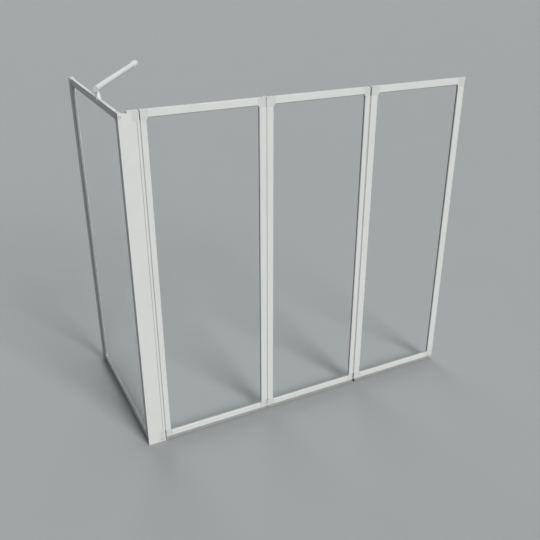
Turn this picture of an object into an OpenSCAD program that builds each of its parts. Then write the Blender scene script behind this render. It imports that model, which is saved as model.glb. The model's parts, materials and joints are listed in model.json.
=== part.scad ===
// Folding bath screen: a fixed side panel, a corner post, three folding glazed
// panels and a stabiliser bar, in white coated aluminium frames.
// X runs along the folding panels, Y towards the wall, Z up from the bath rim.
// The origin is the centre of the corner post's foot.

/* [Overall] */
// Height of the folding frames above the bath rim
screen_h = 1215; // [1000:5:1500]
// How much lower the side panel and the wall profile end
side_drop = 5; // [3:1:15]
// Distance from the front face to the wall
side_d = 657; // [560:1:900]
// Height of the frames' lower edge above the rim
frame_bottom = 15; // [10:1:25]

/* [Folding panels] */
// Width of the panel next to the post
panel_1_w = 414; // [300:1:460]
// Width of the middle panel
panel_2_w = 395; // [300:1:460]
// Width of the end panel
panel_3_w = 410; // [300:1:460]
// Gap between post and first panel
gap_1 = 3; // [2:0.5:6]
// Gap between first and middle panel
gap_2 = 2; // [1.5:0.5:4]
// Gap between middle and end panel
gap_3 = 6; // [3:0.5:8]
// Depth of the folding frames
frame_t = 17; // [15:1:24]
// Face height of the rails
rail_h = 23; // [21:1:35]
// Face width of the first panel's stile at the post
stile_1_left = 19; // [17:1:34]
// Face width of the first panel's other stile
stile_1_right = 25; // [17:1:34]
// Face width of the middle panel's stile at the first panel
stile_2_left = 24; // [17:1:34]
// Face width of the middle panel's other stile
stile_2_right = 19; // [17:1:34]
// Face width of the end panel's stile at the middle panel
stile_3_left = 27; // [17:1:34]
// Face width of the end panel's free stile
stile_3_right = 28; // [17:1:34]

/* [Frame profile] */
// Wall thickness of the hollow profiles
wall = 1.4; // [1.2:0.1:1.8]
// Rounding of the profiles' long edges
edge_r = 0.8; // [0.5:0.1:1.2]
// Slope on the lip that faces the glass
lip_slope = 1.6; // [0.6:0.1:2]
// Thickness of the back lip at the glass, before it slopes away
back_lip_t = 2.2; // [1.5:0.1:4]
// How far a corner block reaches along its rail past the stile
corner_reach = 5; // [3:0.5:10]
// How far a corner block reaches along its stile past the rail
corner_drop = 7; // [4:0.5:12]
// Length of a corner block's tongues inside the profiles
tongue_l = 14; // [8:1:24]
// Play of a tongue in its profile
tongue_fit = 0.2; // [0.1:0.05:0.4]
// Open seam between a corner block and a profile's end
seam = 0.2; // [0.1:0.05:0.5]

/* [Glazing] */
// Glass thickness
glass_t = 3; // [3:0.5:4]
// Depth of the glass behind the front face of a folding frame
glass_in = 4; // [3:0.5:5]
// Depth of the glass behind the outer face of the side frame
side_glass_in = 2.6; // [2.2:0.1:3.4]
// How far the glass reaches into its groove
glass_bite = 8; // [5:0.5:9]
// Space between the glass edge and the bottom of the groove
groove_play = 0.6; // [0.4:0.1:1]
// Thickness of the glazing gasket on each side of the glass
gasket_t = 0.8; // [0.5:0.1:1]
// How far the gasket stands out of the groove
gasket_out = 0.9; // [0.5:0.1:1.5]

/* [Hinges] */
// Radius of the hinge pins
pin_r = 1.25; // [1:0.05:1.5]
// Running clearance round a pin
pin_play = 0.05; // [0.03:0.01:0.08]
// Radius of the hinge lugs
lug_r = 2.6; // [2.2:0.1:3.2]
// Distance of a hinge axis outside the frame's face
pin_off = 0.6; // [0.4:0.1:1.2]
// How far a lug is rooted in its block
lug_root = 2; // [1.5:0.1:4]
// Clearance cut round a neighbour's lug
lug_relief = 0.35; // [0.3:0.05:0.4]
// Gap between two lugs on one pin
lug_gap = 0.4; // [0.3:0.1:0.8]
// Height of a pin's head
pin_head_t = 0.8; // [0.6:0.1:1.2]

/* [Corner post] */
// Width of the post
post_w = 64; // [60:1:84]
// Width of the post's front plate outside its box
plate_w = 28; // [24:1:30]
// Thickness of the front plate
plate_t = 2.4; // [2:0.1:3]
// Thickness of the channel lips that hold the side panel
channel_t = 1.5; // [1.2:0.1:2]
// Depth of the outer channel lip
outer_lip_d = 5; // [4:1:12]
// Depth of the inner channel lip
inner_lip_d = 13; // [12:1:16]
// Width of the post's hinge blocks
hinge_block_w = 20; // [16:1:22]
// Width of the groove that marks the bead by the hinge
bead_groove_w = 1.8; // [1:0.1:3]
// Depth of that groove
bead_groove_d = 1.8; // [1:0.1:2]
// Width of the bead by the hinge
bead_w = 7.2; // [6.5:0.1:9]
// Width of the bead's strip that runs past the hinge blocks
bead_strip_w = 4.5; // [4:0.1:6]
// Depth of that strip
bead_strip_d = 3; // [2.5:0.1:4]
// Thickness of the post's foot and top cap
post_cap_t = 3; // [2:0.5:5]
// Radius of the screw cover caps on the post
cover_cap_r = 4; // [3:0.5:5]
// Height of a cover cap on the face
cover_cap_t = 0.4; // [0.3:0.1:0.5]
// Distance of the upper cover cap's centre from the post's outer edge
upper_cap_in = 5.5; // [5:0.5:14]
// Distance of the upper cover cap's centre from the side panel's top
upper_cap_down = 10; // [9:0.5:24]
// Distance of the lower cover cap's centre from the hinge block's edge
lower_cap_in = 6; // [5:0.5:8]
// Distance of the lower cover cap's centre from the rim
lower_cap_up = 11; // [9:0.5:30]

/* [Side panel] */
// Depth of the side frame's profile
side_t = 11; // [10:1:16]
// Face width of the side stile at the post
side_stile_front = 32; // [24:1:40]
// Face width of the side stile at the wall
side_stile_wall = 44; // [38:1:60]
// Clearance of the side frame in its channels
side_fit = 0.2; // [0.1:0.05:0.4]

/* [Wall profile] */
// Depth of the wall profile
wall_profile_d = 30; // [26:1:38]
// Thickness of its flanges
flange_t = 2.4; // [1.6:0.1:3]
// Thickness of its web on the wall
web_t = 2; // [1.6:0.1:3]
// Space behind the side stile for adjustment
adjust_gap = 6; // [5:0.5:10]
// Radius of the wall screw holes
wall_hole_r = 2.6; // [2.1:0.1:3.2]
// Distance of the outer wall screw holes from the ends
hole_end = 150; // [80:5:250]
// Thickness of the wall profile's top cap
wall_cap_t = 2; // [1.5:0.5:4]

/* [Frame screws] */
// Radius of the frame screws' shanks
screw_r = 1.6; // [1.2:0.1:2]
// Radius of the frame screws' heads
screw_head_r = 3.4; // [2.6:0.1:4]
// Height of the frame screws' heads
screw_head_t = 1.8; // [1.2:0.1:2.4]
// Clearance round a frame screw
screw_play = 0.1; // [0.05:0.05:0.2]

/* [Seals and feet] */
// Gap between a drip seal's lips and the rim
drip_clear = 1.5; // [0.5:0.1:2.5]
// Thickness of a drip lip
drip_lip_t = 1.3; // [1:0.1:2]
// Height of the drip seal's carrier
drip_carrier_h = 4; // [3:0.5:6]
// Set-back of a drip seal from the frame's faces
drip_in = 2.5; // [1.5:0.5:3.5]
// How far a drip lip leans outwards
drip_lean = 1; // [0.25:0.25:1.5]
// Depth of the seals in the panel gaps
gap_seal_d = 4; // [3:0.5:6]
// Set-back of the gap seals from the front face
gap_seal_in = 1.5; // [1:0.5:6]
// Clearance of a gap seal to its neighbour
gap_seal_fit = 0.3; // [0.2:0.05:0.5]
// Gap between the end panel's feet and the rim
foot_clear = 0.2; // [0.1:0.1:1]
// Radius of the end panel's feet
foot_r = 3.3; // [3:0.1:5]
// Distance of a foot from the panel's side edge
foot_in = 0.2; // [0.2:0.1:6]
// Distance of the hinge-side foot from the front face
foot_front_in = 1; // [0.5:0.1:3]
// Space between a foot and the drip seal
foot_gap = 0.5; // [0.4:0.1:2]
// Length of the buffer beside the end panel
buffer_out = 7; // [4:0.5:12]
// Height of the buffer
buffer_h = 12; // [8:1:24]
// Width of the buffer
buffer_w = 9; // [5:0.5:11]
// How far the buffer's cap reaches over the corner block
buffer_over = 4; // [3:0.5:10]
// Thickness of that cap
buffer_cap_t = 2; // [1.5:0.5:3]
// Radius of the top stop on the first panel
stop_r = 5.5; // [2.5:0.1:6]
// Height of the top stop
stop_h = 3; // [2:0.5:5]
// Distance of the stop from the corner block's edges
stop_in = 1.2; // [0.5:0.1:3]

/* [Stabiliser bar] */
// Outer diameter of the bar
bar_d = 19; // [16:1:25]
// Wall thickness of the bar
bar_wall = 1.5; // [1:0.1:2.5]
// Height of the bar's axis above the side panel
bar_rise = 32; // [24:1:50]
// Distance of the clamp from the front face
clamp_y = 246; // [150:1:400]
// Distance of the bar's wall end from the post's outer edge
bar_wall_x = 250; // [150:1:350]
// Length of bar past the clamp
bar_overhang = 17; // [10:1:40]
// Thickness of the bar's end cap
bar_cap_t = 3; // [2:0.5:6]
// How far the end cap stands out round the bar
bar_cap_lip = 0.4; // [0.2:0.1:1]
// Rounding of the end cap's rim
bar_cap_round = 1; // [0.5:0.1:1.5]
// Length of the end cap's plug
bar_plug_l = 5; // [3:0.5:5.5]
// Space between the bar's end and the socket's bottom
bar_end_gap = 1; // [0.5:0.1:2]
// Thickness of the clamp's legs at their flats
clamp_leg_t = 3.2; // [3:0.1:5]
// Width of the flat that stays on each side of the clamp screw's head
clamp_seat = 0.4; // [0.2:0.1:2]
// Thickness of the clamp over the rail
clamp_top_t = 3; // [3:0.5:6]
// Depth of the clamp down the rail
clamp_grip = 8; // [8:0.5:21]
// Clearance of the clamp on the rail
clamp_fit = 0.1; // [0.05:0.05:0.3]
// Radius of the clamp's neck at its foot
neck_foot_r = 9.2; // [6:0.1:9.2]
// Radius of the clamp's neck at the bar
neck_top_r = 3.8; // [3.6:0.1:6]
// Radius of the clamp's screw and the bar screw
bar_screw_r = 2; // [1.5:0.1:2.5]
// Length of the bar screw inside the bar
bar_screw_in = 2; // [1:0.5:4]
// Radius of the clamp screw's head
clamp_head_r = 3; // [2.8:0.1:4]
// Outer radius of the wall socket
socket_r = 12.5; // [12.5:0.5:18]
// Length of the wall socket along the bar
socket_l = 27; // [16:1:40]
// Rounding of the wall socket's shoulder
socket_round = 2.5; // [1.5:0.5:4]
// Clearance of the bar in the socket
socket_fit = 0.1; // [0.05:0.05:0.3]
// Radius of the socket's screw hole
socket_hole_r = 2.2; // [2:0.1:2.6]
// Thickness of the socket under that screw's head
socket_seat_t = 3; // [2:0.5:3.5]
// Radius of the room for that screw's head
socket_head_r = 4.4; // [4:0.1:5]

/* [Hidden] */
$fn = 48;

// Colours
white = [0.90, 0.91, 0.91];
plastic_white = [0.83, 0.85, 0.84];
seal_grey = [0.66, 0.68, 0.68];
steel = [0.62, 0.63, 0.65];
clear = [0.80, 0.90, 0.88, 0.35];
rubber_black = [0.08, 0.08, 0.08];

// Extra length of a cutting body past a face
cut = 1;
// Depth that joined shapes share inside one piece
join = 1;
// Metal left behind the bead's groove
groove_floor_t = 0.8;
// Largest share of a lip's thickness that its slope may take
lip_slope_share = 0.6;

// Folding panels, counted from the post
panel_w = [panel_1_w, panel_2_w, panel_3_w];
gap_w = [gap_1, gap_2, gap_3];
left_stile_w = [stile_1_left, stile_2_left, stile_3_left];
right_stile_w = [stile_1_right, stile_2_right, stile_3_right];
function total(list, count) = count < 1 ? 0 : list[count - 1] + total(list, count - 1);
function panel_x(i) = post_w + total(gap_w, i + 1) + total(panel_w, i);
function panel_end(i) = panel_x(i) + panel_w[i];

// Hinge axes: behind the frames, in front of them, and behind them again
function hinge_x(i) = panel_x(i) - gap_w[i] / 2;
hinge_y = [frame_t + pin_off, -pin_off, frame_t + pin_off];
// Way from a hinge axis into the frame's depth
hinge_in = [-1, 1, -1];

// Corner blocks, their lug zones and the pieces between them
corner_h = rail_h + corner_drop;
groove_d = glass_bite + groove_play;
bottom_zone = [frame_bottom, frame_bottom + corner_h];
top_zone = [screen_h - corner_h, screen_h];
zones = [bottom_zone, top_zone];
function stile_z(top) = [bottom_zone[1] + seam, top - corner_h - seam];
function glass_z(top) = [frame_bottom + rail_h - glass_bite, top - rail_h + glass_bite];
// Depth of the slope at the frame's back, between the lip and the hollow chamber
function back_slope(t, glass_y) =
    max(0, min(t - glass_y - glass_t - gasket_t - back_lip_t, groove_d - wall));
lug_end = pin_head_t + lug_gap;
pin_head_r = (pin_r + lug_r) / 2;
function zone_mid(zone) = (zone[0] + zone[1]) / 2;
function parent_lug_z(zone) = [zone[0] + lug_end, zone_mid(zone) - lug_gap / 2];
function child_lug_z(zone) = [zone_mid(zone) + lug_gap / 2, zone[1] - lug_end];

// Side panel: its own width runs along Y, its depth along X
side_h = screen_h - side_drop;
side_x = channel_t + side_fit;
side_y = plate_t + side_fit;
side_w = side_d - web_t - adjust_gap - side_y;
side_mid_x = side_x + side_t / 2;
channel_in_x = side_x + side_t + side_fit;

// Post
block_x = post_w - hinge_block_w;
bead_x = post_w - bead_w;
strip_x = post_w - bead_strip_w;
// The box's front wall is thicker, so that the bead's groove leaves enough
post_face_wall = bead_groove_d + groove_floor_t;
post_tongue_x = [plate_w + wall + tongue_fit, block_x - seam - tongue_fit];
post_tongue_y = [post_face_wall + tongue_fit, frame_t - wall - tongue_fit];
post_z = [post_cap_t, screen_h - post_cap_t];

// Wall profile
flange_x = [side_x - side_fit - flange_t, side_x - side_fit];
inner_flange_x = [channel_in_x, channel_in_x + flange_t];
wall_profile_y = side_d - wall_profile_d;
wall_hole_z = [hole_end, side_h / 2, side_h - hole_end];

// Stabiliser bar
bar_r = bar_d / 2;
bar_z = side_h + bar_rise;
bar_dx = bar_wall_x - side_mid_x;
bar_dy = side_d - clamp_y;
bar_len = sqrt(bar_dx * bar_dx + bar_dy * bar_dy);
bar_turn = atan(bar_dx / bar_dy);
// The bar stops short of the wall by the slant of its square-cut end
bar_short = bar_r * tan(bar_turn) + socket_seat_t + 2 * bar_end_gap;
bar_end = bar_len - bar_short;

// ---------------------------------------------------------------- helpers

// Everything is drawn from the post's outer front edge and moved to the origin
module in_place() {
    translate([-post_w / 2, -frame_t / 2, 0])
        children();
}

module block(x, y, z) {
    translate([x[0], y[0], z[0]])
        cube([x[1] - x[0], y[1] - y[0], z[1] - z[0]]);
}

module upright(x, y, z, r) {
    translate([x, y, z[0]])
        cylinder(h = z[1] - z[0], r = r);
}

module lying_x(x, y, z, r) {
    translate([x[0], y, z])
        rotate([0, 90, 0])
            cylinder(h = x[1] - x[0], r = r);
}

module lying_y(x, y, z, r) {
    translate([x, y[1], z])
        rotate([90, 0, 0])
            cylinder(h = y[1] - y[0], r = r);
}

// Extrudes an outline drawn in Y and Z along X
module along_x(x) {
    translate([x[0], 0, 0])
        rotate([90, 0, 90])
            linear_extrude(height = x[1] - x[0])
                children();
}

// Extrudes an outline drawn in X and Z through the depth Y
module through_y(y) {
    translate([0, y[1], 0])
        rotate([90, 0, 0])
            linear_extrude(height = y[1] - y[0])
                children();
}

module along_z(z) {
    translate([0, 0, z[0]])
        linear_extrude(height = z[1] - z[0])
            children();
}

module flip_x(on) {
    if (on) mirror([1, 0, 0]) children();
    else children();
}

module flip_z(on) {
    if (on) mirror([0, 0, 1]) children();
    else children();
}

// Rectangle with round corners
module soft_rect(x, y, r) {
    translate([x[0] + r, y[0]])
        square([x[1] - x[0] - 2 * r, y[1] - y[0]]);
    translate([x[0], y[0] + r])
        square([x[1] - x[0], y[1] - y[0] - 2 * r]);
    for (u = [x[0] + r, x[1] - r], v = [y[0] + r, y[1] - r])
        translate([u, v])
            circle(r = r);
}

// ---------------------------------------------------------- frame profile

// Hollow profile: w is its face width from the outer edge to the glass
module profile(w, t, glass_y) {
    lip = min(lip_slope, (glass_y - gasket_t) * lip_slope_share);
    back = back_slope(t, glass_y);
    difference() {
        soft_rect([0, w], [0, t], edge_r);
        translate([w - groove_d, glass_y - gasket_t])
            square([groove_d + cut, glass_t + 2 * gasket_t]);
        translate([wall, wall])
            square([w - groove_d - 2 * wall, t - 2 * wall]);
        polygon([[w - lip - cut, -cut], [w + cut, -cut], [w + cut, lip + cut]]);
        polygon([[w - back - cut, t + cut], [w + cut, t + cut], [w + cut, t - back - cut]]);
    }
}

// U-shaped gasket that grips the glass edge in the groove
module gasket_profile(w, glass_y) {
    difference() {
        translate([w - groove_d, glass_y - gasket_t])
            square([groove_d + gasket_out, glass_t + 2 * gasket_t]);
        translate([w - glass_bite, glass_y])
            square([glass_bite + gasket_out + cut, glass_t]);
    }
}

module frame_stile(x, w, right, t, glass_y, frame_top) {
    translate([x, 0, 0])
        flip_x(right)
            along_z(stile_z(frame_top))
                profile(w, t, glass_y);
}

module rail_turned(x, top, frame_top) {
    translate([0, 0, top ? frame_top : frame_bottom])
        flip_z(top)
            along_x(x)
                mirror([1, -1])
                    children();
}

module frame_gaskets(x, left_w, right_w, glass_y, frame_top) {
    color(seal_grey) {
        for (right = [false, true])
            translate([right ? x[1] : x[0], 0, 0])
                flip_x(right)
                    along_z(stile_z(frame_top))
                        gasket_profile(right ? right_w : left_w, glass_y);
        for (top = [false, true])
            rail_turned(rail_span(x, left_w, right_w), top, frame_top)
                gasket_profile(rail_h, glass_y);
    }
}

function rail_span(x, left_w, right_w) = [
    x[0] + left_w + corner_reach + seam,
    x[1] - right_w - corner_reach - seam
];

module frame_glass(x, left_w, right_w, glass_y, frame_top) {
    color(clear)
        block([x[0] + left_w - glass_bite, x[1] - right_w + glass_bite],
              [glass_y, glass_y + glass_t], glass_z(frame_top));
}

// Space behind a corner block's opening: three slopes that meet, one in line with
// the stile's, one with the rail's and one along the block's slanted edge
module corner_slopes(w, t, back) {
    reach = w + corner_reach;
    room = reach + corner_h;
    front = t - back;
    intersection() {
        along_z([-cut, corner_h + cut])
            polygon([[w, front], [w - back - cut, t + cut], [room, t + cut], [room, front]]);
        along_x([-cut, reach + cut])
            polygon([[front, rail_h], [t + cut, rail_h - back - cut], [t + cut, room],
                     [front, room]]);
        translate([reach, 0, rail_h])
            rotate([0, -atan(corner_reach / corner_drop), 0])
                along_z([-room, room])
                    polygon([[0, front], [-back - cut, t + cut], [room, t + cut], [room, front]]);
    }
}

// Corner block with a tongue into its rail and one into its stile,
// notched for the corner of the glass
module corner_block(w, t, glass_y) {
    reach = w + corner_reach;
    back = back_slope(t, glass_y);
    tongue_y = [wall + tongue_fit, t - wall - tongue_fit];
    difference() {
        union() {
            through_y([0, t])
                polygon([[0, 0], [reach, 0], [reach, rail_h], [w, corner_h], [0, corner_h]]);
            block([reach - join, reach + tongue_l], tongue_y,
                  [wall + tongue_fit, rail_h - groove_d - wall - tongue_fit]);
            block([wall + tongue_fit, w - groove_d - wall - tongue_fit], tongue_y,
                  [corner_h - join, corner_h + tongue_l]);
        }
        block([w - groove_d, reach + cut],
              [glass_y - gasket_t, glass_y + glass_t + gasket_t],
              [rail_h - groove_d, corner_h + cut]);
        if (back > 0) corner_slopes(w, t, back);
    }
}

module frame_corners(x, left_w, right_w, t, glass_y, frame_top) {
    for (right = [false, true], top = [false, true])
        translate([right ? x[1] : x[0], 0, top ? frame_top : frame_bottom])
            flip_x(right)
                flip_z(top)
                    corner_block(right ? right_w : left_w, t, glass_y);
}

// Drip seal under a frame: a carrier strip with two leaning lips
module drip_seal(x, t) {
    carrier_z = frame_bottom - drip_carrier_h;
    root_y = drip_in + drip_lean;
    front_half = [
        [drip_in, frame_bottom], [drip_in, carrier_z], [root_y, carrier_z],
        [drip_in, drip_clear], [drip_in + drip_lip_t, drip_clear],
        [root_y + drip_lip_t, carrier_z]
    ];
    count = len(front_half);
    back_half = [
        for (k = [count - 1 : -1 : 0]) [t - front_half[k][0], front_half[k][1]]
    ];
    color(seal_grey)
        along_x(x)
            polygon(concat(front_half, back_half));
}

// ----------------------------------------------------------------- hinges

module hinge_bore(i, r) {
    for (zone = zones)
        upright(hinge_x(i), hinge_y[i], [zone[0] - cut, zone[1] + cut], r);
}

module lug(i, z, child) {
    tab = gap_w[i] / 2 + lug_root;
    depth = hinge_in[i] * lug_r;
    upright(hinge_x(i), hinge_y[i], z, lug_r);
    block(child ? [hinge_x(i), hinge_x(i) + tab] : [hinge_x(i) - tab, hinge_x(i)],
          [hinge_y[i] + min(0, depth), hinge_y[i] + max(0, depth)], z);
}

module hinge_lugs(i, child) {
    for (zone = zones)
        lug(i, child ? child_lug_z(zone) : parent_lug_z(zone), child);
}

// Space for the neighbour's lugs and for the pins' heads
module hinge_reliefs(i, child) {
    r = lug_r + lug_relief;
    for (zone = zones) {
        head_z = [zone[1] - lug_end, zone[1] + cut];
        lugs_z = child ? [zone[0] - cut, zone_mid(zone)] : [zone_mid(zone), head_z[1]];
        upright(hinge_x(i), hinge_y[i], lugs_z, r);
        upright(hinge_x(i), hinge_y[i], head_z, r);
    }
}

module hinge_pins(i) {
    color(steel)
        in_place()
            for (zone = zones) {
                head_z = zone[1] - lug_end;
                upright(hinge_x(i), hinge_y[i], [parent_lug_z(zone)[0], head_z + pin_head_t / 2],
                        pin_r);
                upright(hinge_x(i), hinge_y[i], [head_z, head_z + pin_head_t], pin_head_r);
            }
}

// --------------------------------------------------------- folding panels

function panel_span(i) = [panel_x(i), panel_end(i)];

module panel_rail(i, top) {
    color(white)
        in_place()
            rail_turned(rail_span(panel_span(i), left_stile_w[i], right_stile_w[i]), top,
                        screen_h)
                profile(rail_h, frame_t, glass_in);
}

module panel_stile(i, right) {
    color(white)
        in_place()
            frame_stile(right ? panel_end(i) : panel_x(i),
                        right ? right_stile_w[i] : left_stile_w[i], right, frame_t, glass_in,
                        screen_h);
}

module panel_corner_blocks(i) {
    last = i == len(panel_w) - 1;
    color(plastic_white)
        in_place()
            difference() {
                union() {
                    frame_corners(panel_span(i), left_stile_w[i], right_stile_w[i],
                                  frame_t, glass_in, screen_h);
                    hinge_lugs(i, true);
                    if (!last) hinge_lugs(i + 1, false);
                    if (i == 0)
                        upright(panel_end(i) - stop_r - stop_in, frame_t - stop_r - stop_in,
                                [screen_h - join, screen_h + stop_h], stop_r);
                }
                hinge_reliefs(i, true);
                hinge_bore(i, pin_r + pin_play);
                if (!last) {
                    hinge_reliefs(i + 1, false);
                    hinge_bore(i + 1, pin_r + pin_play);
                }
            }
}

module panel_glass(i) {
    in_place()
        frame_glass(panel_span(i), left_stile_w[i], right_stile_w[i], glass_in, screen_h);
}

module panel_gaskets(i) {
    in_place()
        frame_gaskets(panel_span(i), left_stile_w[i], right_stile_w[i], glass_in, screen_h);
}

module panel_drip_seal(i) {
    // The end panel's seal stops short of its feet
    last = i == len(panel_w) - 1;
    ends = last ? foot_in + 2 * foot_r + foot_gap : seam;
    in_place()
        drip_seal([panel_x(i) + ends, panel_end(i) - ends], frame_t);
}

// Strip that closes the gap, fixed to the panel that swings
module panel_gap_seal(i) {
    color(seal_grey)
        in_place()
            block([panel_x(i) - gap_w[i] + gap_seal_fit, panel_x(i)],
                  [gap_seal_in, gap_seal_in + gap_seal_d], stile_z(screen_h));
}

// Buffer clipped over the free top corner
module panel_3_end_buffer() {
    end = panel_end(2);
    top = screen_h + buffer_cap_t;
    mid_y = frame_t / 2;
    color(plastic_white)
        in_place()
            through_y([mid_y - buffer_w / 2, mid_y + buffer_w / 2]) {
                soft_rect([end, end + buffer_out], [top - buffer_h, top], buffer_cap_t / 2);
                translate([end - buffer_over, screen_h])
                    square([buffer_over + join, buffer_cap_t]);
            }
}

module panel_3_hinge_foot() {
    color(rubber_black)
        in_place()
            upright(panel_x(2) + foot_in + foot_r, foot_front_in + foot_r,
                    [foot_clear, frame_bottom], foot_r);
}

module panel_3_end_foot() {
    color(plastic_white)
        in_place()
            upright(panel_end(2) - foot_in - foot_r, frame_t / 2, [foot_clear, frame_bottom], foot_r);
}

// ------------------------------------------------------------- side panel

// Turns a frame drawn along X so that it runs along Y with its front outwards
module as_side() {
    in_place()
        translate([side_x, side_y, 0])
            mirror([1, -1, 0])
                children();
}

side_span = [0, side_w];

module side_rail(top) {
    color(white)
        as_side()
            rail_turned(rail_span(side_span, side_stile_front, side_stile_wall), top, side_h)
                profile(rail_h, side_t, side_glass_in);
}

module side_top_rail() side_rail(true);
module side_bottom_rail() side_rail(false);

// Holes for the screws that hold the side frame in its two channels
module side_screw_holes(y, r) {
    for (z = wall_hole_z)
        lying_x([side_mid_x, inner_flange_x[1] + cut], y, z, r);
}

post_screw_y = side_y + inner_lip_d / 2;
profile_screw_y = wall_profile_y + wall_profile_d / 3;

module side_stile_at_post() {
    color(white)
        difference() {
            as_side()
                frame_stile(0, side_stile_front, false, side_t, side_glass_in, side_h);
            in_place()
                side_screw_holes(post_screw_y, screw_r + screw_play);
        }
}

module side_stile_at_wall() {
    color(white)
        difference() {
            as_side()
                frame_stile(side_w, side_stile_wall, true, side_t, side_glass_in, side_h);
            in_place()
                side_screw_holes(profile_screw_y, screw_r + screw_play);
        }
}

module side_corner_blocks() {
    color(plastic_white)
        as_side()
            frame_corners(side_span, side_stile_front, side_stile_wall, side_t, side_glass_in,
                          side_h);
}

module side_glass() {
    as_side()
        frame_glass(side_span, side_stile_front, side_stile_wall, side_glass_in, side_h);
}

module side_gaskets() {
    as_side()
        frame_gaskets(side_span, side_stile_front, side_stile_wall, side_glass_in, side_h);
}

module side_drip_seal() {
    as_side()
        drip_seal([frame_t - side_y + seam, wall_profile_y - side_y - seam], side_t);
}

// A row of screws through an inner lip or flange into the side stile
module screw_row(y, lip_x) {
    color(steel)
        in_place()
            for (z = wall_hole_z) {
                lying_x([side_mid_x, lip_x[1] + join / 2], y, z, screw_r);
                lying_x([lip_x[1], lip_x[1] + screw_head_t], y, z, screw_head_r);
            }
}

// ------------------------------------------------------------ corner post

module post_outline() {
    difference() {
        union() {
            square([plate_w + join, plate_t]);
            soft_rect([plate_w, post_w], [0, frame_t], edge_r);
            square([channel_t, outer_lip_d]);
            translate([channel_in_x, 0])
                square([channel_t, inner_lip_d]);
        }
        translate([plate_w + wall, post_face_wall])
            square([post_w - plate_w - 2 * wall, frame_t - post_face_wall - wall]);
        translate([bead_x - bead_groove_w, -cut])
            square([bead_groove_w, cut + bead_groove_d]);
    }
}

// Space for a hinge block: the strip with the bead runs on past it
module hinge_block_space(z) {
    difference() {
        block([block_x - seam, post_w + cut], [-cut, frame_t + cut], z);
        block([strip_x + seam, post_w + 2 * cut], [-2 * cut, bead_strip_d],
              [z[0] - cut, z[1] + cut]);
    }
}

module corner_post() {
    color(white)
        in_place()
            difference() {
                along_z(post_z)
                    post_outline();
                block([-cut, plate_w], [-cut, frame_t], [side_h, screen_h]);
                hinge_block_space([top_zone[0] - seam, screen_h + cut]);
                hinge_block_space([-cut, bottom_zone[1] + seam]);
                side_screw_holes(post_screw_y, screw_r + screw_play);
            }
}

module post_top_cap() {
    color(plastic_white)
        in_place() {
            block([plate_w, block_x - seam], [0, frame_t], [post_z[1], screen_h]);
            block(post_tongue_x, post_tongue_y, [post_z[1] - tongue_l, post_z[1] + join]);
        }
}

module post_foot() {
    color(plastic_white)
        in_place() {
            block([0, post_w], [0, frame_t], [0, post_cap_t]);
            block(post_tongue_x, post_tongue_y, [post_cap_t - join, post_cap_t + tongue_l]);
        }
}

// Blocks let into the post's ends that carry the first hinge
module post_hinge_blocks() {
    tongue_x = [block_x + wall, post_w - wall - tongue_fit];
    color(plastic_white)
        in_place()
            difference() {
                union() {
                    block([block_x, post_w], [0, frame_t], top_zone);
                    block(tongue_x, post_tongue_y, [top_zone[0] - tongue_l, top_zone[0] + join]);
                    block([block_x, post_w], [0, frame_t], [post_cap_t, bottom_zone[1]]);
                    block(tongue_x, post_tongue_y,
                          [bottom_zone[1] - join, bottom_zone[1] + tongue_l]);
                    hinge_lugs(0, false);
                }
                block([strip_x, post_w + cut], [-cut, bead_strip_d + seam],
                      [0, bottom_zone[1] + cut]);
                block([strip_x, post_w + cut], [-cut, bead_strip_d + seam],
                      [top_zone[0] - cut, screen_h + cut]);
                hinge_reliefs(0, false);
                hinge_bore(0, pin_r + pin_play);
            }
}

module post_cover_caps() {
    top_cap = [upper_cap_in, side_h - upper_cap_down];
    foot_cap = [block_x + lower_cap_in, lower_cap_up];
    color(plastic_white)
        in_place()
            for (place = [top_cap, foot_cap])
                lying_y(place[0], [-cover_cap_t, 0], place[1], cover_cap_r);
}

// ----------------------------------------------------------- wall profile

module wall_profile() {
    color(white)
        in_place()
            difference() {
                union() {
                    block([flange_x[0], inner_flange_x[1]], [side_d - web_t, side_d], [0, side_h]);
                    block(flange_x, [wall_profile_y, side_d], [0, side_h]);
                    block(inner_flange_x, [wall_profile_y, side_d], [0, side_h]);
                }
                for (z = wall_hole_z)
                    lying_y(side_mid_x, [side_d - web_t - cut, side_d + cut], z, wall_hole_r);
                side_screw_holes(profile_screw_y, screw_r + screw_play);
            }
}

module wall_profile_cap() {
    plug_y = [side_y + side_w + seam, side_d - web_t - seam];
    color(plastic_white)
        in_place() {
            block([flange_x[0], inner_flange_x[1]], [wall_profile_y, side_d],
                  [side_h, side_h + wall_cap_t]);
            block([side_x, side_x + side_t], plug_y, [side_h - tongue_l, side_h + join]);
        }
}

// --------------------------------------------------------- stabiliser bar

// Local Z runs along the bar from the clamp to the wall
module along_bar() {
    in_place()
        translate([side_mid_x, clamp_y, bar_z])
            rotate([0, 0, -bar_turn])
                rotate([-90, 0, 0])
                    children();
}

module bar_screw_hole(r) {
    in_place()
        upright(side_mid_x, clamp_y, [side_h - cut, bar_z], r);
}

module stabiliser_bar() {
    color(white)
        difference() {
            along_bar()
                difference() {
                    upright(0, 0, [-bar_overhang, bar_end], bar_r);
                    upright(0, 0, [-bar_overhang - cut, bar_end + cut], bar_r - bar_wall);
                }
            bar_screw_hole(bar_screw_r + screw_play);
        }
}

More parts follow.
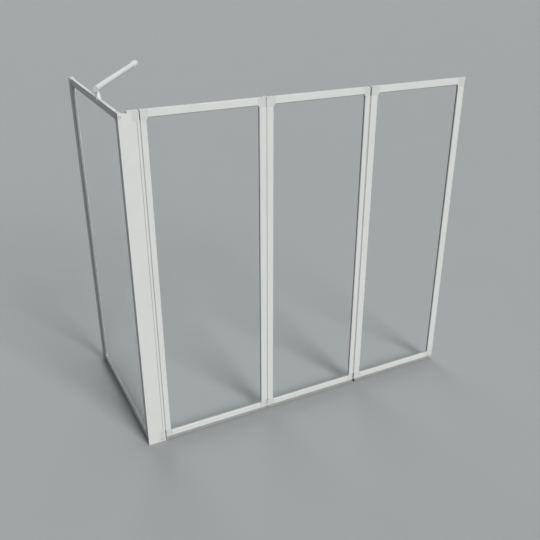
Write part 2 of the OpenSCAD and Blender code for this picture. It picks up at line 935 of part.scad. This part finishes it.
module bar_end_cap() {
    plug_r = bar_r - bar_wall - socket_fit;
    cap_r = bar_r + bar_cap_lip;
    face = -bar_overhang - bar_cap_t;
    color(plastic_white)
        along_bar()
            rotate_extrude() {
                translate([0, face + bar_cap_round])
                    square([cap_r, bar_cap_t - bar_cap_round]);
                translate([0, face])
                    square([cap_r - bar_cap_round, bar_cap_t]);
                intersection() {
                    translate([cap_r - bar_cap_round, face + bar_cap_round])
                        circle(r = bar_cap_round);
                    translate([0, face])
                        square([cap_r, bar_cap_t]);
                }
                translate([0, -bar_overhang - join])
                    square([plug_r, bar_plug_l + join]);
            }
}

// A round foot over the rail, flat at both legs, with a neck up to the bar
module bar_clamp() {
    grip_x = [side_x - clamp_fit, side_x + side_t + clamp_fit];
    clamp_z = [side_h - clamp_grip, side_h + clamp_top_t];
    clamp_r = norm([side_t / 2 + clamp_fit + clamp_leg_t, clamp_head_r + clamp_seat]);
    room = 2 * clamp_r;
    neck_z = [side_h + clamp_top_t - join, bar_z - bar_r + neck_top_r];
    color(white)
        difference() {
            in_place()
                difference() {
                    union() {
                        intersection() {
                            upright(side_mid_x, clamp_y, clamp_z, clamp_r);
                            block([grip_x[0] - clamp_leg_t, grip_x[1] + clamp_leg_t],
                                  [clamp_y - room, clamp_y + room], clamp_z);
                        }
                        translate([side_mid_x, clamp_y, neck_z[0]])
                            cylinder(h = neck_z[1] - neck_z[0], r1 = neck_foot_r, r2 = neck_top_r);
                    }
                    block(grip_x, [clamp_y - room, clamp_y + room],
                          [clamp_z[0] - cut, side_h + clamp_fit]);
                    lying_x([side_mid_x, grip_x[1] + clamp_leg_t + cut], clamp_y,
                            side_h - clamp_grip / 2, bar_screw_r + screw_play);
                }
            along_bar()
                upright(0, 0, [-room, room], bar_r + socket_fit);
            bar_screw_hole(bar_screw_r + screw_play);
        }
}

module clamp_screw() {
    leg_x = [side_x + side_t + clamp_fit, side_x + side_t + clamp_fit + clamp_leg_t];
    color(steel)
        in_place() {
            lying_x([leg_x[0] - clamp_fit, leg_x[1] + join / 2], clamp_y,
                    side_h - clamp_grip / 2, bar_screw_r);
            lying_x([leg_x[1], leg_x[1] + screw_head_t], clamp_y,
                    side_h - clamp_grip / 2, clamp_head_r);
        }
}

module bar_screw() {
    color(steel)
        in_place()
            upright(side_mid_x, clamp_y,
                    [side_h + clamp_fit, bar_z - bar_r + bar_wall + bar_screw_in], bar_screw_r);
}

// Outline of the socket round the bar, with a rounded shoulder
module socket_outline(start, length) {
    translate([0, start])
        square([socket_r - socket_round, length]);
    translate([0, start + socket_round])
        square([socket_r, length - socket_round]);
    translate([socket_r - socket_round, start + socket_round])
        circle(r = socket_round);
}

module bar_wall_socket() {
    start = bar_len - socket_l;
    room = 4 * socket_r;
    color(white)
        difference() {
            intersection() {
                along_bar()
                    rotate_extrude()
                        socket_outline(start, socket_l + 2 * socket_r);
                in_place()
                    block([bar_wall_x - room, bar_wall_x + room], [side_d - room, side_d],
                          [bar_z - room, bar_z + room]);
            }
            along_bar()
                upright(0, 0, [start - cut, bar_end + bar_end_gap], bar_r + socket_fit);
            in_place() {
                lying_y(bar_wall_x, [side_d - socket_r, side_d - socket_seat_t], bar_z, socket_head_r);
                lying_y(bar_wall_x, [side_d - socket_r, side_d + cut], bar_z, socket_hole_r);
            }
        }
}

// ------------------------------------------------------------------ nodes

wall_profile();
wall_profile_cap();
screw_row(profile_screw_y, inner_flange_x);  // wall_profile_screws
side_top_rail();
side_bottom_rail();
side_stile_at_wall();
side_stile_at_post();
side_corner_blocks();
side_glass();
side_gaskets();
side_drip_seal();
corner_post();
post_top_cap();
post_foot();
post_hinge_blocks();
screw_row(post_screw_y, [channel_in_x, channel_in_x + channel_t]);  // post_screws
post_cover_caps();
stabiliser_bar();
bar_end_cap();
bar_clamp();
clamp_screw();
bar_screw();
bar_wall_socket();
for (i = [0 : len(panel_w) - 1]) {
    panel = str("panel_", i + 1);
    panel_rail(i, true);
    panel_rail(i, false);
    panel_stile(i, false);
    panel_stile(i, true);
    panel_corner_blocks(i);
    panel_glass(i);
    panel_gaskets(i);
    panel_drip_seal(i);
    panel_gap_seal(i);
    hinge_pins(i);
}
panel_3_end_buffer();
panel_3_hinge_foot();
panel_3_end_foot();
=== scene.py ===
"""Folding bath screen: materials, small details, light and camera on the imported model."""
import json
import math

import bmesh
import bpy
from mathutils import Matrix, Vector


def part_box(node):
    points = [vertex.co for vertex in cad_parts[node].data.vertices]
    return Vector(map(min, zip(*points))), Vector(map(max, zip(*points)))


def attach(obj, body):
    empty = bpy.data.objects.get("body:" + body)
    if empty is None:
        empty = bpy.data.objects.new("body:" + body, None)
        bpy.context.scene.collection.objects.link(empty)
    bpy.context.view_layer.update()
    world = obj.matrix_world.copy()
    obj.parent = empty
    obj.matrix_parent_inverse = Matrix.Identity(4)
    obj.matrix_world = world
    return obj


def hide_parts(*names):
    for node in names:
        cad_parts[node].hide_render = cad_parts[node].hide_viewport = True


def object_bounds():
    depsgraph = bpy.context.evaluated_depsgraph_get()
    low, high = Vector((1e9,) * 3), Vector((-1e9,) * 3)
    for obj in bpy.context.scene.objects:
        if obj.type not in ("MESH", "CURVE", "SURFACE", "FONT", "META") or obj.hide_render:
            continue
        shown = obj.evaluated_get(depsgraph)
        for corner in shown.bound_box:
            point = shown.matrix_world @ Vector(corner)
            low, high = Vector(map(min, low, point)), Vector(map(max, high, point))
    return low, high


MM = 0.001

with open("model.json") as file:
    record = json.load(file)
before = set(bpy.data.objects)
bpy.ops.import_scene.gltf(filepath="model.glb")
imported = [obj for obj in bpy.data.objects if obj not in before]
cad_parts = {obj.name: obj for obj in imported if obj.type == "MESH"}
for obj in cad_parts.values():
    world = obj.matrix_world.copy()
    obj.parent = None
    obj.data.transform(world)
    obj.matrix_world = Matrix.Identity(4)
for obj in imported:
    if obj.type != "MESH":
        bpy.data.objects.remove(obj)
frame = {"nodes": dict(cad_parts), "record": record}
cad_low, cad_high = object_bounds()

# ------------------------------------------------------------------ materials

# Colours are linear
WHITE_COAT = (0.69, 0.705, 0.70)
WHITE_PLASTIC = (0.62, 0.64, 0.63)
SEAL_GREY = (0.33, 0.34, 0.34)
SEAL_PALE = (0.44, 0.45, 0.45)
STEEL = (0.46, 0.47, 0.48)
RUBBER_BLACK = (0.012, 0.012, 0.012)
JOINT_SHADOW = (0.10, 0.10, 0.10)
GLASS_TINT = (0.975, 0.990, 0.985)

GLASS_IOR = 1.5
# How deep light goes into the plastic
PLASTIC_DEPTH = 2.0 * MM
# How far a seal's roughness drifts to both sides
SEAL_DRIFT = 0.08
# Part of the noise over which a colour drifts
DRIFT_FROM = 0.3
DRIFT_TO = 0.7


def new_material(name):
    """A node material with a Principled shader, and object coordinates in metres for its textures."""
    material = bpy.data.materials.new(name)
    material.use_nodes = True
    nodes = material.node_tree.nodes
    links = material.node_tree.links
    nodes.clear()
    output = nodes.new("ShaderNodeOutputMaterial")
    shader = nodes.new("ShaderNodeBsdfPrincipled")
    links.new(shader.outputs["BSDF"], output.inputs["Surface"])
    coords = nodes.new("ShaderNodeTexCoord")
    return material, nodes, links, shader, coords


def noise(nodes, links, coords, size, detail=3.0, stretch=(1.0, 1.0, 1.0)):
    """Noise whose blotches are about `size` metres across."""
    mapping = nodes.new("ShaderNodeMapping")
    mapping.inputs["Scale"].default_value = stretch
    links.new(coords.outputs["Object"], mapping.inputs["Vector"])
    texture = nodes.new("ShaderNodeTexNoise")
    texture.inputs["Scale"].default_value = 1.0 / size
    texture.inputs["Detail"].default_value = detail
    links.new(mapping.outputs["Vector"], texture.inputs["Vector"])
    return texture.outputs["Fac"]


def tinted(nodes, links, factor, colour, darker):
    """The colour, which drifts to `darker` times itself where the factor is low."""
    ramp = nodes.new("ShaderNodeValToRGB")
    ramp.color_ramp.elements[0].position = DRIFT_FROM
    ramp.color_ramp.elements[1].position = DRIFT_TO
    ramp.color_ramp.elements[0].color = (*[c * darker for c in colour], 1.0)
    ramp.color_ramp.elements[1].color = (*colour, 1.0)
    links.new(factor, ramp.inputs["Fac"])
    return ramp.outputs["Color"]


def spread(nodes, links, factor, low, high):
    """Maps a factor of 0 to 1 onto low to high."""
    scale = nodes.new("ShaderNodeMapRange")
    scale.inputs["To Min"].default_value = low
    scale.inputs["To Max"].default_value = high
    links.new(factor, scale.inputs["Value"])
    return scale.outputs["Result"]


def bump(nodes, links, shader, height, strength, distance):
    """Fine relief from a height factor, `distance` metres deep at full strength."""
    node = nodes.new("ShaderNodeBump")
    node.inputs["Strength"].default_value = strength
    node.inputs["Distance"].default_value = distance
    links.new(height, node.inputs["Height"])
    links.new(node.outputs["Normal"], shader.inputs["Normal"])


def coated_metal(name, colour):
    """Satin powder coat: faint orange peel, hardly any drift in colour and gloss."""
    material, nodes, links, shader, coords = new_material(name)
    drift = noise(nodes, links, coords, size=90 * MM)
    peel = noise(nodes, links, coords, size=0.9 * MM, detail=2.0)
    links.new(tinted(nodes, links, drift, colour, darker=0.96), shader.inputs["Base Color"])
    links.new(spread(nodes, links, drift, low=0.40, high=0.48), shader.inputs["Roughness"])
    bump(nodes, links, shader, peel, strength=0.10, distance=0.05 * MM)
    shader.inputs["Coat Weight"].default_value = 0.08
    shader.inputs["Coat Roughness"].default_value = 0.25
    return material


def moulded_plastic(name, colour):
    """Fine spark-eroded grain with slow patches in its gloss."""
    material, nodes, links, shader, coords = new_material(name)
    patches = noise(nodes, links, coords, size=14 * MM)
    grain = noise(nodes, links, coords, size=0.35 * MM, detail=2.0)
    links.new(tinted(nodes, links, patches, colour, darker=0.95), shader.inputs["Base Color"])
    links.new(spread(nodes, links, patches, low=0.42, high=0.55), shader.inputs["Roughness"])
    bump(nodes, links, shader, grain, strength=0.18, distance=0.04 * MM)
    shader.inputs["Subsurface Weight"].default_value = 0.05
    shader.inputs["Subsurface Radius"].default_value = (PLASTIC_DEPTH, PLASTIC_DEPTH, PLASTIC_DEPTH)
    return material


def soft_seal(name, colour, roughness=0.7):
    """Extruded soft seal: fine lines along its height and a dusty, matt skin."""
    material, nodes, links, shader, coords = new_material(name)
    dust = noise(nodes, links, coords, size=22 * MM)
    lines = noise(nodes, links, coords, size=0.5 * MM, detail=1.0, stretch=(1.0, 1.0, 0.05))
    gloss = spread(nodes, links, dust, low=roughness - SEAL_DRIFT, high=roughness + SEAL_DRIFT)
    links.new(tinted(nodes, links, dust, colour, darker=0.85), shader.inputs["Base Color"])
    links.new(gloss, shader.inputs["Roughness"])
    bump(nodes, links, shader, lines, strength=0.2, distance=0.05 * MM)
    return material


def machined_steel(name, colour):
    """Turned stainless steel."""
    material, nodes, links, shader, coords = new_material(name)
    rings = noise(nodes, links, coords, size=0.4 * MM, detail=2.0, stretch=(1.0, 1.0, 6.0))
    links.new(tinted(nodes, links, rings, colour, darker=0.8), shader.inputs["Base Color"])
    links.new(spread(nodes, links, rings, low=0.24, high=0.40), shader.inputs["Roughness"])
    bump(nodes, links, shader, rings, strength=0.15, distance=0.02 * MM)
    shader.inputs["Metallic"].default_value = 1.0
    return material


def clear_glass(name, tint):
    """Float glass. Shadow rays and diffuse light pass straight through it."""
    material, nodes, links, shader, coords = new_material(name)
    waves = noise(nodes, links, coords, size=260 * MM, detail=1.0)
    bump(nodes, links, shader, waves, strength=0.03, distance=0.1 * MM)
    shader.inputs["Base Color"].default_value = (*tint, 1.0)
    shader.inputs["Roughness"].default_value = 0.0
    shader.inputs["IOR"].default_value = GLASS_IOR
    shader.inputs["Transmission Weight"].default_value = 1.0
    rays = nodes.new("ShaderNodeLightPath")
    straight = nodes.new("ShaderNodeMath")
    straight.operation = "MAXIMUM"
    links.new(rays.outputs["Is Shadow Ray"], straight.inputs[0])
    links.new(rays.outputs["Is Diffuse Ray"], straight.inputs[1])
    clear = nodes.new("ShaderNodeBsdfTransparent")
    clear.inputs["Color"].default_value = (*tint, 1.0)
    mix = nodes.new("ShaderNodeMixShader")
    links.new(straight.outputs["Value"], mix.inputs["Fac"])
    links.new(shader.outputs["BSDF"], mix.inputs[1])
    links.new(clear.outputs["BSDF"], mix.inputs[2])
    links.new(mix.outputs["Shader"], nodes["Material Output"].inputs["Surface"])
    return material


finishes = {
    "white_frame": coated_metal("white_coat", WHITE_COAT),
    "white_plastic": moulded_plastic("white_moulding", WHITE_PLASTIC),
    "grey_seal": soft_seal("grey_soft_seal", SEAL_GREY),
    "pale_seal": soft_seal("pale_soft_seal", SEAL_PALE),
    "clear_glass": clear_glass("float_glass", GLASS_TINT),
    "steel": machined_steel("turned_steel", STEEL),
    "black_rubber": soft_seal("black_soft_rubber", RUBBER_BLACK, roughness=0.6),
}
# Near-black finish for the thin rings round the caps: painted shade of the gaps they stand in
joint_shadow = soft_seal("joint_shadow", JOINT_SHADOW)

for part in frame["record"]["subparts"]:
    mesh = frame["nodes"][part["node"]].data
    mesh.materials.clear()
    mesh.materials.append(finishes[part["material_slot"]])

# --------------------------------------------------------------- detail pieces

# How many screws each node holds
SCREW_COUNTS = {"wall_profile_screws": 3, "post_screws": 3, "clamp_screw": 1}
SCREW_SHANK_R = 1.6 * MM
SCREW_SHANK_IN = 5.0 * MM
SCREW_HEAD_T = 1.8 * MM
# Width of a head's rounded edge and half the span of its cross, as shares of its radius
HEAD_EDGE = 0.35
CROSS_SPAN = 0.62
# Points of the rounded edge: share of its width taken off the radius, and share of the head's height
HEAD_OUTLINE = [(0.0, 0.45), (0.3, 0.75), (1.0, 0.95)]
CROSS_W = 0.9 * MM
CROSS_DEPTH = 1.1 * MM
# How far a cutter stands out of what it cuts
CUT_PAST = 1.0 * MM

COVER_CAP_R = 4.0 * MM
# Width of a cap's soft rim, and where its middle lies as a share of that
CAP_RIM = 0.25 * MM
CAP_RIM_MIDDLE = 0.3
# Width and thickness of the dark ring round a cap, which is painted shade of the gap between cap and hole
CAP_SHADE_RING_W = 0.7 * MM
CAP_SHADE_RING_T = 0.05 * MM

# The two caps on top of the side panel
WALL_TOP_CAP_R = 3.4 * MM
POST_TOP_CAP_R = 2.4 * MM
TOP_CAP_T = 0.4 * MM
# Width of the painted shade ring round each top cap
TOP_CAP_SHADE_RING_W = 1.2 * MM
TOP_CAP_IN = 5.0 * MM
TOP_CAP_FROM_WALL = 24.5 * MM
TOP_CAP_FROM_POST = 36.0 * MM

# The groove beside the post's bead and the soft strip in it, whose grey also paints the groove's shade
GROOVE_W = 1.8 * MM
GROOVE_DEPTH = 1.8 * MM
BEAD_W = 7.2 * MM
INSERT_PLAY = 0.1 * MM
INSERT_T = 0.8 * MM


def new_piece(name, form):
    """An object from a bmesh, which is freed."""
    mesh = bpy.data.meshes.new(name)
    form.to_mesh(mesh)
    form.free()
    piece = bpy.data.objects.new(name, mesh)
    bpy.context.scene.collection.objects.link(piece)
    return piece


def turned(name, profile, centre, axis, steps=32):
    """A turned piece: `profile` lists (radius, height) and heights run along `axis` from `centre`."""
    form = bmesh.new()
    turns = [2 * math.pi * k / steps for k in range(steps)]
    rings = []
    for radius, height in profile:
        if radius == 0:
            rings.append([form.verts.new((0, 0, height))])
            continue
        rings.append([form.verts.new((radius * math.cos(t), radius * math.sin(t), height)) for t in turns])
    for low_ring, high_ring in zip(rings, rings[1:]):
        for k in range(steps):
            m = (k + 1) % steps
            corners = [low_ring[k % len(low_ring)], low_ring[m % len(low_ring)],
                       high_ring[m % len(high_ring)], high_ring[k % len(high_ring)]]
            form.faces.new(list(dict.fromkeys(corners)))
    bmesh.ops.recalc_face_normals(form, faces=form.faces)
    turn = Vector(axis).to_track_quat("Z", "Y").to_matrix().to_4x4()
    form.transform(Matrix.Translation(centre) @ turn)
    return new_piece(name, form)


def block(name, low_corner, high_corner):
    """A plain block between two corners."""
    form = bmesh.new()
    bmesh.ops.create_cube(form, size=1.0)
    size = Vector(high_corner) - Vector(low_corner)
    middle = (Vector(high_corner) + Vector(low_corner)) / 2
    form.transform(Matrix.Translation(middle) @ Matrix.Diagonal((*size, 1.0)))
    return new_piece(name, form)


def delete(piece):
    """Removes a piece and its mesh."""
    mesh = piece.data
    bpy.data.objects.remove(piece)
    bpy.data.meshes.remove(mesh)


def carve(piece, cutter):
    """Cuts the cutter out of the piece for good."""
    cut = piece.modifiers.new("cut", "BOOLEAN")
    cut.operation = "DIFFERENCE"
    cut.solver = "EXACT"
    cut.object = cutter
    before = piece.data
    depsgraph = bpy.context.evaluated_depsgraph_get()
    piece.data = bpy.data.meshes.new_from_object(piece.evaluated_get(depsgraph))
    piece.modifiers.clear()
    bpy.data.meshes.remove(before)
    delete(cutter)


def joined(name, parts):
    """One piece from several, which are removed."""
    form = bmesh.new()
    for part in parts:
        form.from_mesh(part.data)
    for part in parts:
        delete(part)
    return new_piece(name, form)


def finished(piece, body, slot, material=None):
    """Gives the piece its finish and hangs it on its body."""
    piece.data.materials.clear()
    piece.data.materials.append(material or finishes[slot])
    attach(piece, body)
    return piece


def cross_head_screw(name, seat, radius):
    """A pan-head screw whose head stands on the point `seat` and points along +X."""
    edge = radius * HEAD_EDGE
    head = [(radius - edge * taken, SCREW_HEAD_T * up) for taken, up in HEAD_OUTLINE]
    profile = [(0, -SCREW_SHANK_IN), (SCREW_SHANK_R, -SCREW_SHANK_IN), (SCREW_SHANK_R, 0),
               (radius, 0), *head, (0, SCREW_HEAD_T)]
    screw = turned(name, profile, seat, (1, 0, 0))
    span = radius * CROSS_SPAN
    for dy, dz in ((span, CROSS_W / 2), (CROSS_W / 2, span)):
        low_corner = seat + Vector((SCREW_HEAD_T - CROSS_DEPTH, -dy, -dz))
        high_corner = seat + Vector((SCREW_HEAD_T + CUT_PAST, dy, dz))
        carve(screw, block("slot_cutter", low_corner, high_corner))
    return screw


def screw_row(node, count):
    """Detailed screws in place of a node's plain ones, evenly spaced in height."""
    low_corner, high_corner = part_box(node)
    radius = (high_corner[1] - low_corner[1]) / 2
    top = high_corner[2] - radius
    bottom = low_corner[2] + radius
    screws = []
    for k in range(count):
        z = bottom + (top - bottom) * k / max(count - 1, 1)
        seat = Vector((high_corner[0] - SCREW_HEAD_T, low_corner[1] + radius, z))
        screws.append(cross_head_screw(f"{node}_{k}", seat, radius))
    row = joined(f"{node}_detailed", screws)
    finished(row, "fixed_frame", "steel")
    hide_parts(node)


def pressed_cap(name, seat, axis, radius, height, gap=CAP_SHADE_RING_W):
    """A pressed-in cap with a soft rim, and round it a thin dark ring, which is painted shade of the gap
    between cap and hole.
    """
    inset = CAP_RIM * CAP_RIM_MIDDLE
    profile = [(0, 0), (radius, 0), (radius, height - CAP_RIM), (radius - inset, height - inset),
               (radius - CAP_RIM, height), (0, height)]
    outer = radius + gap
    ring = [(radius, 0), (outer, 0), (outer, CAP_SHADE_RING_T), (radius, CAP_SHADE_RING_T), (radius, 0)]
    return turned(f"{name}_cap", profile, seat, axis), turned(f"{name}_seat", ring, seat, axis)


def cover_caps():
    """The two caps on the post's face, each with a painted shade ring round it."""
    low_corner, high_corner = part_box("post_cover_caps")
    height = high_corner[1] - low_corner[1]
    upper = Vector((low_corner[0] + COVER_CAP_R, high_corner[1], high_corner[2] - COVER_CAP_R))
    lower = Vector((high_corner[0] - COVER_CAP_R, high_corner[1], low_corner[2] + COVER_CAP_R))
    caps, shade_rings = zip(pressed_cap("upper", upper, (0, -1, 0), COVER_CAP_R, height),
                      pressed_cap("lower", lower, (0, -1, 0), COVER_CAP_R, height))
    piece = joined("cover_caps_detailed", caps)
    finished(piece, "fixed_frame", "white_plastic")
    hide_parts("post_cover_caps")
    # The dark rings round the caps are painted shade of their gaps
    finished(joined("cover_cap_shade_rings", shade_rings), "fixed_frame", "grey_seal", joint_shadow)


def top_caps():
    """Two small caps on top of the side panel, one near the wall and one near the post, each with a painted
    shade ring round it.
    """
    wall_low, wall_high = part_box("wall_profile_cap")
    block_low, block_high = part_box("side_corner_blocks")
    at_wall = Vector((wall_high[0] - TOP_CAP_IN, wall_high[1] - TOP_CAP_FROM_WALL, wall_high[2]))
    at_post = Vector(((block_low[0] + block_high[0]) / 2, block_low[1] + TOP_CAP_FROM_POST, block_high[2]))
    caps, shade_rings = zip(pressed_cap("wall", at_wall, (0, 0, 1), WALL_TOP_CAP_R, TOP_CAP_T, TOP_CAP_SHADE_RING_W),
                      pressed_cap("post", at_post, (0, 0, 1), POST_TOP_CAP_R, TOP_CAP_T, TOP_CAP_SHADE_RING_W))
    finished(joined("top_caps", caps), "fixed_frame", "white_plastic")
    # The dark rings round the caps are painted shade of their gaps
    finished(joined("top_cap_shade_rings", shade_rings), "fixed_frame", "grey_seal", joint_shadow)


def groove_shade_insert():
    """The soft strip in the groove beside the post's bead. Its grey is partly a real insert's colour and
    partly painted shade of the groove.
    """
    post_low, post_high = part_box("corner_post")
    panel_low, panel_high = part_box("panel_1_left_stile")
    right = post_high[0] - BEAD_W - INSERT_PLAY
    left = post_high[0] - BEAD_W - GROOVE_W + INSERT_PLAY
    back = post_low[1] + GROOVE_DEPTH
    # Grey strip: partly a soft insert, partly painted shade in the groove
    strip = block("post_groove_shade_insert", (left, back - INSERT_T, panel_low[2]), (right, back, panel_high[2]))
    finished(strip, "fixed_frame", "pale_seal")


for screw_node, screw_count in SCREW_COUNTS.items():
    screw_row(screw_node, screw_count)
cover_caps()
top_caps()
groove_shade_insert()

# ---------------------------------------------------------------------- stage

# The floor is in metres
FLOOR_SIZE = 400.0
FLOOR_BELOW = 0.1 * MM
FLOOR_CLOUD = 0.9
FLOOR_DARKER = 0.99
FLOOR_ROUGHNESS = 0.9
FLOOR_SPECULAR = 0.1
FLOOR_GREY = (0.36, 0.37, 0.375)
# What the floor's colour is for light that bounces off it
FLOOR_BOUNCE = (0.15, 0.155, 0.16)
BACKDROP_GREY = (0.374, 0.389, 0.3925)

# Strength of the world's light from all round, and what its brightest direction adds
AMBIENT = 0.06
FILL = 0.70
FILL_FROM = (0.45, 0.60, 0.66)
WORLD_COLOUR = (0.95, 0.98, 1.0)

# Two broad lamps: where they shine from, and their angles across in degrees
KEY_FROM = (0.16, -0.85, 0.50)
KEY_STRENGTH = 3.0
KEY_ANGLE = 24.0
KEY_COLOUR = (1.0, 0.99, 0.97)
BACK_FROM = (0.15, 0.94, 0.30)
BACK_STRENGTH = 1.7
BACK_ANGLE = 40.0
BACK_COLOUR = (0.98, 0.99, 1.0)

# The photograph's camera: metres, degrees, and millimetres for lens and sensor
CAMERA_AT = (-0.52518, -1.97046, 1.66377)
CAMERA_TURN = (64.1701, -0.3205, -27.3486)
CAMERA_LENS = 45.544
CAMERA_SENSOR = 36.0
CAMERA_SHIFT_X = -0.01609
CAMERA_SHIFT_Y = 0.00207
CAMERA_REACH = 200.0

# Colour sockets of a Mix node
MIX_COLOUR_A = 6
MIX_COLOUR_B = 7
MIX_COLOUR_OUT = 2


def seen_directly(nodes, links):
    """1 for rays from the camera, straight or through glass or off a gloss, and 0 for bounced light."""
    rays = nodes.new("ShaderNodeLightPath")
    seen = rays.outputs["Is Camera Ray"]
    for ray in ("Is Glossy Ray", "Is Transmission Ray"):
        either = nodes.new("ShaderNodeMath")
        either.operation = "MAXIMUM"
        links.new(seen, either.inputs[0])
        links.new(rays.outputs[ray], either.inputs[1])
        seen = either.outputs["Value"]
    return seen


def make_floor():
    """A wide pale floor just under the part, darker for bounced light than for the camera."""
    mesh = bpy.data.meshes.new("floor")
    half = FLOOR_SIZE / 2
    corners = [(-half, -half, 0), (half, -half, 0), (half, half, 0), (-half, half, 0)]
    mesh.from_pydata(corners, [], [(0, 1, 2, 3)])
    floor = bpy.data.objects.new("floor", mesh)
    floor.location.z = cad_low.z - FLOOR_BELOW
    bpy.context.scene.collection.objects.link(floor)
    material, nodes, links, shader, coords = new_material("pale_floor")
    cloud = noise(nodes, links, coords, size=FLOOR_CLOUD)
    mix = nodes.new("ShaderNodeMix")
    mix.data_type = "RGBA"
    links.new(seen_directly(nodes, links), mix.inputs["Factor"])
    mix.inputs[MIX_COLOUR_A].default_value = (*FLOOR_BOUNCE, 1.0)
    links.new(tinted(nodes, links, cloud, FLOOR_GREY, FLOOR_DARKER), mix.inputs[MIX_COLOUR_B])
    links.new(mix.outputs[MIX_COLOUR_OUT], shader.inputs["Base Color"])
    shader.inputs["Roughness"].default_value = FLOOR_ROUGHNESS
    shader.inputs["Specular IOR Level"].default_value = FLOOR_SPECULAR
    mesh.materials.append(material)


def make_world():
    """Dim even light with a broad soft fill from behind. The camera sees the plain backdrop."""
    world = bpy.data.worlds.new("studio")
    bpy.context.scene.world = world
    world.use_nodes = True
    nodes = world.node_tree.nodes
    links = world.node_tree.links
    coords = nodes.new("ShaderNodeTexCoord")
    towards = nodes.new("ShaderNodeVectorMath")
    towards.operation = "DOT_PRODUCT"
    towards.inputs[1].default_value = Vector(FILL_FROM).normalized()
    links.new(coords.outputs["Generated"], towards.inputs[0])
    strength = nodes.new("ShaderNodeMapRange")
    strength.inputs["To Min"].default_value = AMBIENT
    strength.inputs["To Max"].default_value = AMBIENT + FILL
    links.new(towards.outputs["Value"], strength.inputs["Value"])
    light = nodes["Background"]
    light.inputs["Color"].default_value = (*WORLD_COLOUR, 1.0)
    links.new(strength.outputs["Result"], light.inputs["Strength"])
    backdrop = nodes.new("ShaderNodeBackground")
    backdrop.inputs["Color"].default_value = (*BACKDROP_GREY, 1.0)
    mix = nodes.new("ShaderNodeMixShader")
    links.new(seen_directly(nodes, links), mix.inputs["Fac"])
    links.new(light.outputs["Background"], mix.inputs[1])
    links.new(backdrop.outputs["Background"], mix.inputs[2])
    links.new(mix.outputs["Shader"], nodes["World Output"].inputs["Surface"])


def make_sun(name, source, strength, angle, colour, glints=True):
    """Even soft light that comes from the direction `source`."""
    lamp = bpy.data.lights.new(name, "SUN")
    lamp.energy = strength
    lamp.angle = math.radians(angle)
    lamp.color = colour
    holder = bpy.data.objects.new(name, lamp)
    holder.rotation_euler = Vector(source).to_track_quat("Z", "Y").to_euler()
    holder.visible_glossy = glints
    bpy.context.scene.collection.objects.link(holder)


def make_camera():
    """The camera that took the photograph, as solved from the screen's straight edges."""
    camera = bpy.data.cameras.new("camera")
    camera.sensor_width = CAMERA_SENSOR
    camera.lens = CAMERA_LENS
    camera.shift_x = CAMERA_SHIFT_X
    camera.shift_y = CAMERA_SHIFT_Y
    camera.clip_end = CAMERA_REACH
    holder = bpy.data.objects.new("camera", camera)
    holder.location = CAMERA_AT
    holder.rotation_euler = [math.radians(angle) for angle in CAMERA_TURN]
    bpy.context.scene.collection.objects.link(holder)
    bpy.context.scene.camera = holder


make_floor()
make_world()
make_sun("key", KEY_FROM, KEY_STRENGTH, KEY_ANGLE, KEY_COLOUR)
make_sun("back", BACK_FROM, BACK_STRENGTH, BACK_ANGLE, BACK_COLOUR, glints=False)
make_camera()
bpy.context.scene.view_settings.view_transform = "Standard"
